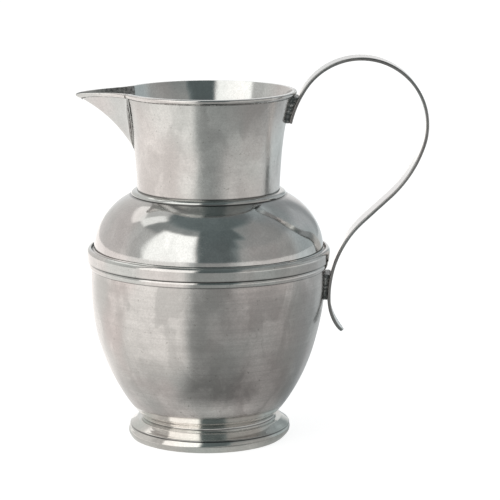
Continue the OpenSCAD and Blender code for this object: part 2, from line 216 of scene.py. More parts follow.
def make(name, points, faces, sharp=32.0, uneven=True):
    """A smooth mesh from points in millimetres."""
    points = np.array(points, float)
    if uneven:
        r = np.maximum(np.hypot(points[:, 0], points[:, 1]), 1e-6)
        fade = np.clip((r - CALM_R) / (UNEVEN_R - CALM_R), 0, 1)
        share = fade * wobble(points[:, 0], points[:, 1], points[:, 2]) / r
        points[:, 0] *= 1 + share
        points[:, 1] *= 1 + share
    mesh = bpy.data.meshes.new(name)
    mesh.from_pydata((points * MM).tolist(), [], [list(map(int, f)) for f in faces])
    mesh.validate()
    mesh.polygons.foreach_set("use_smooth", [True] * len(mesh.polygons))
    mesh.set_sharp_from_angle(angle=math.radians(sharp))
    mesh.update()
    obj = bpy.data.objects.new(name, mesh)
    bpy.context.scene.collection.objects.link(obj)
    return obj


def turned(name, outline, segments=SEGMENTS):
    """A closed outline of radius and height, turned right round the axis."""
    rings, points = [], []
    for r, z in outline:
        if r < 1e-6:
            rings.append([len(points)] * segments)
            points.append((0, 0, z))
        else:
            rings.append(list(range(len(points), len(points) + segments)))
            for j in range(segments):
                a = 2 * math.pi * j / segments
                points.append((r * math.cos(a), r * math.sin(a), z))
    faces = []
    for i in range(len(rings)):
        a, b = rings[i], rings[(i + 1) % len(rings)]
        for j in range(segments):
            k = (j + 1) % segments
            face = [a[j], a[k], b[k], b[j]]
            face = [v for n, v in enumerate(face) if v not in face[:n]]
            if len(face) > 2:
                faces.append(face)
    return make(name, points, faces)


def loft(name, sections, **options):
    """A skin over sections of equal counts, with flat ends."""
    count, rows = len(sections[0]), len(sections)
    points = [p for s in sections for p in s]
    faces = []
    for k in range(rows - 1):
        a, b = k * count, (k + 1) * count
        for i in range(count):
            j = (i + 1) % count
            faces.append((a + i, a + j, b + j, b + i))
    for first, flip in ((0, False), ((rows - 1) * count, True)):
        for i in range(count // 2 - 1):
            face = (first + i, first + count - 1 - i, first + count - 2 - i, first + i + 1)
            faces.append(face[::-1] if flip else face)
    return make(name, points, faces, **options)


# Outlines of the bowl, the shoulder and the neck, as radius and height, from the bottom up
waist_low = np.array([WAIST_R, FOOT_H])
waist_top = np.array([WAIST_R + WAIST_SPREAD, FOOT_H + WAIST_H])
waist_pull = WAIST_H * 0.4
slope = leaning(WAIST_ANGLE)
belly = np.array([BELLY_R, BEAD_Z - BOWL_H * 0.07])
chord = np.linalg.norm(belly - waist_top)
bowl_side = np.vstack([
    curve(waist_low, waist_low + [0, waist_pull], waist_top - waist_pull * slope, waist_top, 12),
    curve(waist_top, waist_top + chord * 0.2 * slope, belly - [0, chord * 0.47], belly, 60)[1:],
    straight(belly, [BELLY_R, SEAM_Z], 6)[1:],
])
crown = np.array([COLLAR_R, LAND_Z])
springing = np.array([SHOULDER_R, BAND_TOP])
shoulder_chord = np.linalg.norm(crown - springing)
shoulder_side = curve(
    springing,
    springing + [0, shoulder_chord * 0.3],
    crown - shoulder_chord * 0.414 * leaning(-CROWN_ANGLE),
    crown,
    48,
)
neck_side = curve(
    [NECK_R, LAND_Z],
    [NECK_R + (MOUTH_R - NECK_R) * 0.08, LAND_Z + NECK_H * 0.4],
    np.array([MOUTH_R, RIM_Z]) - NECK_H * 0.28 * leaning(MOUTH_ANGLE),
    [MOUTH_R, RIM_Z],
    64,
)
neck_inside = beside(neck_side, NECK_WALL)


def at(path, z):
    """The outline's radius at a height."""
    return np.interp(z, path[:, 1], path[:, 0])


def foot():
    base, side_r, side_z = FOOT_R - TUCK, FOOT_R - STEP, ROLL_H + GROOVE
    widest = ROLL_H * 0.52
    under = curve(
        [base, 0], [base + TUCK * 0.5, widest * 0.33],
        [FOOT_R - FOOT_SOFT * 0.4, widest * 0.75], [FOOT_R, widest], 12,
    )
    over = curve(
        [FOOT_R, widest], [FOOT_R, widest + (ROLL_H - widest) * 0.45],
        [side_r, ROLL_H - FOOT_SOFT], [side_r - GROOVE, ROLL_H], 14,
    )
    ledge_z = FOOT_H - FOOT_NECK_H
    run, rise = side_r - WAIST_R, ledge_z - side_z
    shelf = np.array([WAIST_R + run * 0.38, ledge_z - FOOT_SOFT * 0.2])
    edge = np.array([side_r - run * 0.13, side_z + rise * 0.24])
    turn = [side_r - FOOT_SOFT * 0.3, side_z + FOOT_SOFT * 0.9]
    inmost = [WAIST_R + FOOT_FILLET, ledge_z]
    side = np.vstack([
        curve([side_r, side_z], turn, edge + (edge - shelf) * 0.08, edge, 10),
        straight(edge, shelf, 14)[1:],
        curve(shelf, shelf + (shelf - edge) * 0.1, [WAIST_R + FOOT_SOFT * 2, ledge_z], inmost, 8)[1:],
    ])
    # solder fills the corner between the slope and the short upright neck
    fillet = curve(inmost, [WAIST_R, ledge_z], [WAIST_R, ledge_z], [WAIST_R, ledge_z + FOOT_FILLET], 6)
    hollow_r = base - FOOT_WALL
    hollow = curve(
        [hollow_r, ROLL_H / 2], [hollow_r, side_z],
        [hollow_r, ledge_z - FOOT_WALL], [WAIST_R - FOOT_WALL, ledge_z - FOOT_WALL], 12,
    )
    return turned("foot_ring", np.vstack([
        under, over[1:], side, fillet[1:], [[WAIST_R, FOOT_H]],
        [[FLANGE_R, FOOT_H], [FLANGE_R, ledge_z - FOOT_WALL]], hollow[::-1], [[hollow_r, 0]],
    ]))


def bowl():
    inside = np.array([p for p in beside(bowl_side, BOWL_WALL) if p[1] > FLOOR_Z + FLOOR_ROUND])
    low = inside[0]
    corner = curve(
        low, [low[0] - FLOOR_ROUND / 2, FLOOR_Z + FLOOR_ROUND / 3],
        [low[0] - FLOOR_ROUND, FLOOR_Z], [low[0] - FLOOR_ROUND * 2, FLOOR_Z], 12,
    )
    return turned("bowl_shell", np.vstack([
        [[0, FOOT_H], [CALM_R, FOOT_H]], bowl_side, inside[::-1], corner[1:],
        [[CALM_R * 0.75, FLOOR_Z], [0, FLOOR_Z]],
    ]))


def girth_bead():
    inner = BELLY_R + SEAT_GAP
    return turned("girth_bead_ring", np.vstack([
        [[inner, BEAD_Z]],
        bulge([inner + BEAD_OUT / 3, BEAD_Z], [inner + BEAD_OUT / 3, BAND_Z], BEAD_OUT * 2 / 3, 14),
        [[inner, BAND_Z]],
    ]), segments=GIRTH_SEGMENTS)


def girth_band():
    inner, outer = BELLY_R + SEAT_GAP, BELLY_R + BAND_OUT
    low_edge = outer - BAND_TAPER
    brow = curve(
        [outer, BAND_TOP - BAND_ROUND], [outer, BAND_TOP - BAND_ROUND / 3],
        [outer - BAND_ROUND / 2, BAND_TOP], [inner + (outer - inner) / 4, BAND_TOP], 12,
    )
    lip = [
        [low_edge - BAND_LIP, BAND_Z],
        [low_edge - BAND_LIP * 0.3, BAND_Z + BAND_LIP * 0.2],
        [low_edge, BAND_Z + BAND_LIP * 0.9],
    ]
    low_face = [low_edge + BAND_LIP * 0.04, BAND_Z + BAND_LIP * 2]
    return turned("girth_band_ring", np.vstack([
        [[inner, BAND_Z]], lip,
        straight(low_face, [outer, BAND_TOP - BAND_ROUND], 5)[:-1],
        brow, [[inner, BAND_TOP]],
    ]), segments=GIRTH_SEGMENTS)


def shoulder():
    hole = NECK_R - NECK_WALL
    skirt = BAND_TOP - SHOULDER_STEP
    inside = beside(shoulder_side, SHOULDER_WALL)
    return turned("shoulder_dome", np.vstack([
        [[BELLY_R, SEAM_Z], [BELLY_R, skirt]], shoulder_side,
        [[hole, LAND_Z], [hole, inside[-1, 1]]], inside[::-1],
        [[BELLY_R - BOWL_WALL, skirt - SHOULDER_WALL], [BELLY_R - BOWL_WALL, SEAM_Z]],
    ]))


def collar():
    inner = at(neck_side, LAND_Z + COLLAR_H) + SEAT_GAP
    return turned("collar_ring", np.vstack([
        [[inner, LAND_Z]],
        curve(
            [COLLAR_R, LAND_Z], [COLLAR_R + COLLAR_OUT / 8, LAND_Z + COLLAR_H / 2],
            [COLLAR_R - COLLAR_OUT / 3, LAND_Z + COLLAR_H], [inner, LAND_Z + COLLAR_H], 16,
        ),
    ]))


def root_half(z):
    """Half the width of the spout's opening in the neck."""
    return ROOT_W / 2 + (SPOUT_W - ROOT_W) / 2 * (z - SPOUT_Z) / SPOUT_H


def neck():
    """The flared tube, with the spout's opening left out of it. Below the opening, the last few
    columns close the tube."""
    levels = np.unique(np.concatenate([neck_side[:, 1], [SPOUT_Z]]))
    closing = 3
    columns = SEGMENTS - closing
    points, index = [], {}
    for side, path in enumerate((neck_side, neck_inside)):
        for i, z in enumerate(levels):
            r = at(path, z) if side == 0 else max(at(path, z), NECK_R - NECK_WALL)
            gap = math.asin(root_half(max(z, SPOUT_Z)) / r)
            for j in range(columns + 1):
                a = -math.pi + gap + (2 * math.pi - 2 * gap) * j / columns
                index[side, i, j] = len(points)
                points.append((r * math.cos(a), r * math.sin(a), z))
            if z <= SPOUT_Z:
                for j in range(1, closing):
                    a = math.pi - gap + 2 * gap * j / closing
                    index[side, i, columns + j] = len(points)
                    points.append((r * math.cos(a), r * math.sin(a), z))
                index[side, i, columns + closing] = index[side, i, 0]
    faces = []

    def face(*corners):
        """Each corner is a side, a level and a column."""
        faces.append([index[c] for c in corners])

    top = len(levels) - 1
    for i, z in enumerate(levels[:-1]):
        for j in range(columns if z >= SPOUT_Z else columns + closing):
            face((0, i, j), (0, i, j + 1), (0, i + 1, j + 1), (0, i + 1, j))
            face((1, i, j), (1, i + 1, j), (1, i + 1, j + 1), (1, i, j + 1))
        if z >= SPOUT_Z:
            face((0, i, 0), (0, i + 1, 0), (1, i + 1, 0), (1, i, 0))
            face((0, i, columns), (1, i, columns), (1, i + 1, columns), (0, i + 1, columns))
    for j in range(columns):
        face((0, top, j), (0, top, j + 1), (1, top, j + 1), (1, top, j))
    for j in range(columns + closing):
        face((0, 0, j), (1, 0, j), (1, 0, j + 1), (0, 0, j + 1))
    notch = int(np.argmin(abs(levels - SPOUT_Z)))
    for j in range(columns, columns + closing):
        face((0, notch, j), (0, notch, j + 1), (1, notch, j + 1), (1, notch, j))
    return make("neck_tube", points, faces)


def round_mouth(steps):
    """Angles round the mouth from one of the spout's edges to the other."""
    half = math.asin(SPOUT_W / 2 / MOUTH_R)
    return [-math.pi + half + (2 * math.pi - 2 * half) * k / steps for k in range(steps + 1)]


def rim_bead():
    low = [at(neck_side, RIM_Z - RIM_H) + SEAT_GAP, RIM_Z - RIM_H]
    section = bulge(low, [MOUTH_R + SEAT_GAP, RIM_Z], RIM_OUT, 15)
    sections = [[(r * math.cos(a), r * math.sin(a), z) for r, z in section[::-1]] for a in round_mouth(200)]
    return loft("rim_bead_ring", sections)


def keel(s):
    """How far the spout's lower edge has reached out, from 0 at its root to 1 at the rim's height."""
    return 0.56 * s + 0.44 * s**3


def lap(z):
    """How far the spout's soldered edge stands proud of the neck."""
    return SPOUT_LAP * (1 - (2 * (z - SPOUT_Z) / SPOUT_H - 1) ** 4)


def half_plan(z, t):
    """A point of the spout's outside at one height, from its root at t = 0 to its nose at t = 1."""
    half, r = root_half(z), at(neck_side, z) + lap(z)
    reach = REACH * keel((z - SPOUT_Z) / SPOUT_H) / keel(1 - DROOP / SPOUT_H)
    a = math.asin(half / r)
    root = np.array([-r * math.cos(a), half])
    nose = np.array([-at(neck_side, z) - reach, 0.0])
    pull = min(half, reach - lap(z))
    return bezier(root, root - pull * 0.5 * leaning(math.degrees(a)), nose + [0, half * 0.2], nose, t)


def half_plan_inside(z, t):
    """The same on the inside, where the root lies on the neck's inner face."""
    half, inner = root_half(z), at(neck_side, z) - NECK_WALL
    shift = -math.sqrt(inner * inner - half * half) - half_plan(z, 0)[0]
    return half_plan(z, t) + [shift * (1 - t) + SPOUT_WALL * t, 0]


def lip_z(t):
    """The lip's height, which droops towards the nose."""
    return RIM_Z - DROOP * t**2.4


def both_sides(n):
    """Shares of the way out along one side of the spout and back along the other, with the side."""
    t = np.sin(np.linspace(0, math.pi / 2, n + 1))
    return [(v, 1) for v in t] + [(v, -1) for v in t[-2::-1]]


def spout():
    levels = 28
    sections = []
    for t, side in both_sides(32):
        heights = [SPOUT_Z + (lip_z(t) - SPOUT_Z) * i / levels for i in range(levels + 1)]
        outer = [(*half_plan(z, t), z) for z in heights]
        inner = [(*half_plan_inside(z, t), z) for z in heights[::-1]]
        sections.append([(x, y * side, z) for x, y, z in outer + inner])
    return loft("spout_beak", sections)


def lip_bead():
    """The rim's bead carried on along both lips, where it gets lower and thinner."""
    sections = []
    for t, side in both_sides(40):
        top, height = lip_z(t), RIM_H + (LIP_H - RIM_H) * t
        out = RIM_OUT + (LIP_OUT - RIM_OUT) * t
        low = np.array([*half_plan(top - height, t), top - height])
        high = np.array([*half_plan(top, t), top])
        step = half_plan(top, min(t + 0.01, 1)) - half_plan(top, max(t - 0.01, 0))
        along = np.array([0.0, -1.0]) if t > 0.999 else step / np.linalg.norm(step)
        outward = np.array([along[1], -along[0], 0.0])
        section = []
        for a in np.linspace(-math.pi / 2, math.pi / 2, 12):
            p = (low + high) / 2 + (high - low) / 2 * math.sin(a)
            p += outward * (SEAT_GAP + out * math.cos(a))
            section.append((p[0], p[1] * side, p[2]))
        sections.append(section)
    return loft("lip_bead_ring", sections)


# A place on the strap's middle line is x, z and its heading in degrees, which is 0 towards +X


def bend_centre(p, r, turn):
    """The centre of a bend that begins at place p. A positive turn is clockwise."""
    s, h = math.copysign(1, turn), math.radians(p[2])
    return np.array([p[0] + s * r * math.sin(h), p[1] - s * r * math.cos(h)])


def bend_end(p, r, turn):
    c, s, h = bend_centre(p, r, turn), math.copysign(1, turn), math.radians(p[2] - turn)
    return (c[0] - s * r * math.sin(h), c[1] + s * r * math.cos(h), p[2] - turn)


def go_on(p, length):
    """The place a straight length further on."""
    h = math.radians(p[2])
    return (p[0] + length * math.cos(h), p[1] + length * math.sin(h), p[2])


def bend_start(i, start, size, straight_l):
    """Where bend i begins, when the strap begins at start."""
    for k in range(i):
        start = bend_end(start, BEND_RADII_SHARES[k] * size, BEND_TURNS[k])
        if k + 1 == STRAIGHT_BEFORE:
            start = go_on(start, straight_l)
    return start


# The handle's size and the length of its straight stretch make it meet both seats
top_seat = np.array([at(neck_side, STRAP_TOP_Z) + PAD_T + STRAP_T / 2, STRAP_TOP_Z])
low_seat = np.array([at(bowl_side, LOW_SEAT_Z) + PAD_T + STRAP_T / 2, LOW_SEAT_Z])
unit = bend_start(LOW_SEAT_BEND + 1, (0, 0, LEAN), 1, 0)
way = math.radians(bend_start(STRAIGHT_BEFORE, (0, 0, LEAN), 1, 0)[2])
seats = np.array([unit[:2], (math.cos(way), math.sin(way))]).T
SIZE, STRAIGHT_L = np.linalg.solve(seats, low_seat - top_seat)


def bend_place(i):
    """Where bend i of the fitted strap begins."""
    return bend_start(i, (*top_seat, LEAN), SIZE, STRAIGHT_L)


def strap_path():
    """Places along the strap's middle line, each with its length from the start, and the full length."""
    places, length, straight_steps, step_l = [], 0.0, 18, 1.1
    for i, turn in enumerate(BEND_TURNS):
        p, r = bend_place(i), BEND_RADII_SHARES[i] * SIZE
        if i == STRAIGHT_BEFORE:
            for k in range(straight_steps):
                f = k / straight_steps
                places.append((*go_on(p, STRAIGHT_L * (f - 1)), length + STRAIGHT_L * f))
            length += STRAIGHT_L
        arc = math.radians(abs(turn)) * r
        steps = max(8, int(arc / step_l))
        for k in range(steps + (i == len(BEND_TURNS) - 1)):
            places.append((*bend_end(p, r, turn * k / steps), length + arc * k / steps))
        length += arc
    return places, length


def strap_section(thick, half):
    """The strap's section: its four rounded edges, and points across each of its two faces."""
    edge = min(STRAP_EDGE, half * 0.9)
    section = []
    for q, (sx, sy) in enumerate(((1, 1), (1, -1), (-1, -1), (-1, 1))):
        for i in range(EDGE_POINTS):
            a = math.radians(90 - q * 90 - 90 * i / (EDGE_POINTS - 1))
            u = sx * (thick / 2 - edge) + edge * math.cos(a)
            section.append((u, sy * (half - edge) + edge * math.sin(a)))
        if q in (0, 2):
            for i in range(FACE_POINTS):
                f = (i + 1) / (FACE_POINTS + 1)
                section.append((sx * thick / 2, sy * (half - edge) * (1 - 2 * f)))
    return section


def strap():
    """The handle's strap, with a half-round free end."""
    places, length = strap_path()
    tail, tail_steps = STRAP_W / 2, 18
    stations = [p for p in places if p[3] < length - tail]
    along = np.array(places)
    for k in range(tail_steps + 1):
        s = length - tail * (1 - math.sin(math.pi / 2 * k / tail_steps * 0.995))
        stations.append(tuple(np.interp(s, along[:, 3], along[:, c]) for c in range(3)) + (s,))
    sections = []
    for x, z, heading, s in stations:
        h = math.radians(heading)
        half = STRAP_W / 2
        if s > length - tail:
            half = max(math.sqrt(max(tail**2 - (tail - (length - s)) ** 2, 0)), STRAP_TIP)
        # the thickness is uneven, as when bent and filed by hand
        thick = STRAP_T * (1 + 0.02 * math.sin(s * 0.11) + 0.015 * math.sin(s * 0.31 + 1))
        section = strap_section(thick, half)
        sections.append([(x - math.sin(h) * u, v, z + math.cos(h) * u) for u, v in section])
    return loft("strap_handle", sections, uneven=False, sharp=40)


def pad(name, bend, low_z, height, jug, seed):
    """Solder between the jug and the strap, with sides that dip in between the two."""
    p, r = bend_place(bend), BEND_RADII_SHARES[bend] * SIZE
    c = bend_centre(p, r, BEND_TURNS[bend])
    sections = []
    rows, across, deep = 28, 12, 6
    for k in range(rows + 1):
        z = low_z + height * k / rows
        face = c[0] - math.sqrt((r + STRAP_T / 2 + SEAT_GAP) ** 2 - (z - c[1]) ** 2)
        jug_r = at(jug, z) - PAD_SUNK
        ragged = 0.18 * math.sin(k * 0.9 + seed) + 0.12 * math.sin(k * 2.3 + seed * 2)
        width = STRAP_W / 2 - PAD_INSET - PAD_RAGGED + ragged
        ys = np.linspace(-width, width, across + 1)
        backs = [math.sqrt(jug_r**2 - y * y) for y in ys]
        room = face - backs[-1]
        flank = []
        for f in np.arange(1, deep) / deep:
            dip = PAD_DIP * math.sin(math.pi * f) * min(1, room / 2)
            flank.append((backs[-1] + room * f, width - dip))
        section = [(back, y, z) for back, y in zip(backs, ys)]
        section += [(x, y, z) for x, y in flank]
        section += [(face, y, z) for y in ys[::-1]]
        section += [(x, -y, z) for x, y in flank[::-1]]
        sections.append(section)
    return loft(name, sections, uneven=False)


def seam_cord(name, path, radius, seed, thin_below=None):
    """A ragged, flattened dark cord along a path, thinner at its ends and low on the spout: a line of solder
    in the spout's seam, and painted shadow under the beads.
    """
    path = np.array(path, float)
    n, ends, flat, margin = len(path), 0.3, 0.55, 4
    rng = np.random.default_rng(seed)
    bumps = np.convolve(rng.normal(size=n + 2 * margin), np.ones(3) / 3, "same")[margin:margin + n]
    sections = []
    for k in range(n):
        along = path[min(k + 1, n - 1)] - path[max(k - 1, 0)]
        along /= np.linalg.norm(along)
        out = np.array([path[k, 0], path[k, 1], 0.0])
        out /= np.linalg.norm(out)
        side = np.cross(along, out)
        side /= np.linalg.norm(side)
        f = k / (n - 1)
        size = radius * (1 + 0.28 * bumps[k]) * (ends + (1 - ends) * min(1, 12 * f, 12 * (1 - f)))
        if thin_below is not None:
            size *= 0.3 + 0.7 * min(1, max(0, (path[k, 2] - SPOUT_Z) / (thin_below - SPOUT_Z)))
        drift = 0.16 * radius * bumps[(k * 7 + 3) % n]
        sections.append([
            tuple(path[k] + size * (flat * math.cos(a) * out + math.sin(a) * side) + drift * side)
            for a in np.linspace(0, 2 * math.pi, 12, endpoint=False)
        ])
    return loft(name, sections, sharp=60)


def spout_seam():
    """Both sides of the joint between the neck and the spout, meeting at its lowest point."""
    points = []
    down = np.linspace(RIM_Z - RIM_H, SPOUT_Z, 60)
    for side, heights in ((1, down), (-1, down[::-1])):
        for z in heights:
            half, r = root_half(z), at(neck_side, z) + lap(z) * 0.5
            points.append((-math.sqrt(r * r - half * half), side * half, z))
    return seam_cord("spout_seam_line", points, SEAM_R, 5, thin_below=SPOUT_Z + SEAM_THIN_H)


def bead_shadow_line():
    """A dark cord of painted shadow under the beads of the rim and the lip."""
    low, r = RIM_Z - RIM_H - SEAT_GAP, at(neck_side, RIM_Z - RIM_H) + SEAT_GAP
    points = [(r * math.cos(a), r * math.sin(a), low) for a in round_mouth(160)]
    for t, side in both_sides(40)[1:-1][::-1]:
        z = lip_z(t) - RIM_H - (LIP_H - RIM_H) * t
        x, y = half_plan(z, t)
        points.append((x - SEAT_GAP, y * -side, z))
    return seam_cord("bead_painted_shadow_line", points, BEAD_SHADOW_R, 9)


class Nodes:
    """Small helpers to write shader maths as expressions."""

    def __init__(self, tree):
        self.tree = tree
        tree.nodes.clear()

    def add(self, kind, **settings):
        node = self.tree.nodes.new(kind)
        for key, value in settings.items():
            setattr(node, key, value)
        return node

    def link(self, a, b):
        """Joins socket a to socket b, or gives b the number or colour a."""
        if isinstance(a, (int, float, tuple)):
            b.default_value = a
        else:
            self.tree.links.new(a, b)

    def math(self, op, *args, clamp=False):
        node = self.add("ShaderNodeMath", operation=op, use_clamp=clamp)
        for i, a in enumerate(args):
            self.link(a, node.inputs[i])
        return node.outputs[0]

    def times(self, a, b):
        return self.math("MULTIPLY", a, b)

    def minus(self, a, b):
        return self.math("SUBTRACT", a, b)

    def vector(self, op, *args):
        node = self.add("ShaderNodeVectorMath", operation=op)
        for i, a in enumerate(args):
            self.link(a, node.inputs[i])
        return node.outputs["Vector"]

    def split(self, vector):
        node = self.add("ShaderNodeSeparateXYZ")
        self.link(vector, node.inputs[0])
        return node.outputs

    def radius(self, x, y):
        return self.math("SQRT", self.math("ADD", self.times(x, x), self.times(y, y)))

    def azimuth(self, x, y):
        """Degrees round the axis from the camera's side, counted towards the handle."""
        return self.math("DEGREES", self.math("ARCTAN2", x, self.times(y, -1.0)))

    def smooth(self, value, low, high):
        """0 below low, 1 above high, or the other way round where high is the smaller."""
        node = self.add("ShaderNodeMapRange", interpolation_type="SMOOTHSTEP")
        self.link(value, node.inputs["Value"])
        flip = low > high
        node.inputs["From Min"].default_value = min(low, high)
        node.inputs["From Max"].default_value = max(low, high)
        node.inputs["To Min"].default_value = 1.0 if flip else 0.0
        node.inputs["To Max"].default_value = 0.0 if flip else 1.0
        return node.outputs[0]

    def between(self, value, low, high, soft):
        """1 from low to high, with soft ends."""
        rise = self.smooth(value, low - soft, low + soft)
        return self.times(rise, self.smooth(value, high + soft, high - soft))

    def range(self, value, low, high, to_low, to_high):
        node = self.add("ShaderNodeMapRange")
        self.link(value, node.inputs["Value"])
        for key, v in (("From Min", low), ("From Max", high), ("To Min", to_low), ("To Max", to_high)):
            node.inputs[key].default_value = v
        return node.outputs[0]

    def noise(self, vector, scale, detail=2.0, roughness=0.5, distortion=0.0):
        node = self.add("ShaderNodeTexNoise")
        self.link(vector, node.inputs["Vector"])
        node.inputs["Scale"].default_value = scale
        node.inputs["Detail"].default_value = detail
        node.inputs["Roughness"].default_value = roughness
        node.inputs["Distortion"].default_value = distortion
        return node.outputs["Fac"]

    def mix(self, share, a, b):
        """A blend of two colours."""
        node = self.add("ShaderNodeMix", data_type="RGBA")
        self.link(share, node.inputs[0])
        self.link(a, node.inputs[6])
        self.link(b, node.inputs[7])
        return node.outputs[2]

    def blend(self, share, a, b):
        """A blend of two numbers."""
        node = self.add("ShaderNodeMix", data_type="FLOAT")
        self.link(share, node.inputs[0])
        self.link(a, node.inputs[2])
        self.link(b, node.inputs[3])
        return node.outputs[0]

    def bump(self, height, strength, distance, normal=None):
        node = self.add("ShaderNodeBump")
        node.inputs["Strength"].default_value = strength
        node.inputs["Distance"].default_value = distance
        self.link(height, node.inputs["Height"])
        if normal is not None:
            self.link(normal, node.inputs["Normal"])
        return node.outputs[0]

    def output(self, kind, shader):
        self.link(shader, self.add(kind).inputs["Surface"])


# The bowl is polished, and painted lighter as sheen, up to this height, and the spout's side is filed back
# between these two x
POLISHED_SHEEN_Z = 0.0196
FILED_X = (-0.0670, -0.0560)
# How fine each pattern of the metal is, in waves per metre of its noise
BLOTCHES = 24.0
TINTS = 28.0
WAVY = 55.0
PATCHES = 58.0
PITS = 520.0
DOTS = 620.0
FILED = 700.0
GRAIN = 900.0
SPECKS = 2600.0
# Half the width of the dark line of painted shade in a joint, where it ends and where it is full
CREASE_SHADE_END = 0.00075
CREASE_SHADE_FULL = 0.00025
CREASE_SHADE_COLOUR = (0.07, 0.07, 0.07, 1)
DOT_COLOUR = (0.62, 0.62, 0.60, 1)
FILED_COLOUR = (0.13, 0.13, 0.125, 1)
# lighter pewter of the bowl's lowest band, a painted sheen
PAINTED_SHEEN_COLOUR = (0.90, 0.88, 0.86, 1)
BRIGHT_ROUGH = 0.09
BRIGHT_SOFT = 0.0008


def tone(base, red, green=None, blue=None):
    """The base colour made lighter or darker, and tinted where green and blue are given."""
    return (base[0] * red, base[1] * (green or red), base[2] * (blue or red), 1)


def turned_lines(n, place, along_strap):
    """Fine and broad lines of the tool: level round the axis, or along the strap on the handle."""
    x, y, z = n.split(place)
    if along_strap:
        stretched = (n.times(x, 12.0), n.times(y, 900.0), n.times(z, 12.0))
    else:
        across = n.math("MULTIPLY_ADD", z, 820.0, n.times(n.radius(x, y), 500.0))
        stretched = (n.times(x, 9.0), n.times(y, 9.0), across)
    lined = n.add("ShaderNodeCombineXYZ")
    for value, socket in zip(stretched, lined.inputs):
        n.link(value, socket)
    fine = n.noise(lined.outputs[0], 1.0, 3.0, 0.65)
    broad = n.noise(n.vector("MULTIPLY", lined.outputs[0], (0.6, 0.6, 0.28)), 1.0, 2.0, 0.5)
    return fine, broad


def clouds(n, shifted, blotch, base, cloud):
    """Cloudy grey with darker and lighter patches, drawn out upwards, and faint warm and cool tints."""
    upright = n.vector("MULTIPLY", shifted, (1.0, 1.0, 0.6))
    patch = n.noise(n.vector("ADD", upright, (2.2, 4.1, 0.7)), PATCHES, 3.0, 0.55, 0.6)
    tint = n.noise(n.vector("ADD", upright, (3.1, 1.7, 5.2)), TINTS, 2.0, 0.5)
    dark_share = n.times(n.smooth(patch, 0.54, 0.40), 0.75 * cloud)
    light_share = n.times(n.smooth(patch, 0.54, 0.66), 0.45 * cloud)
    low, high = tone(base, 1 - 0.40 * cloud), tone(base, 1 + 0.28 * cloud)
    colour = n.mix(n.smooth(blotch, 0.30, 0.72), low, high)
    colour = n.mix(dark_share, colour, tone(base, 0.66))
    colour = n.mix(light_share, colour, tone(base, 1.22))
    cool, warm = tone(base, 0.93, 1.0, 0.985), tone(base, 1.10, 0.985, 0.97)
    return n.mix(0.34, colour, n.mix(n.smooth(tint, 0.38, 0.62), cool, warm))


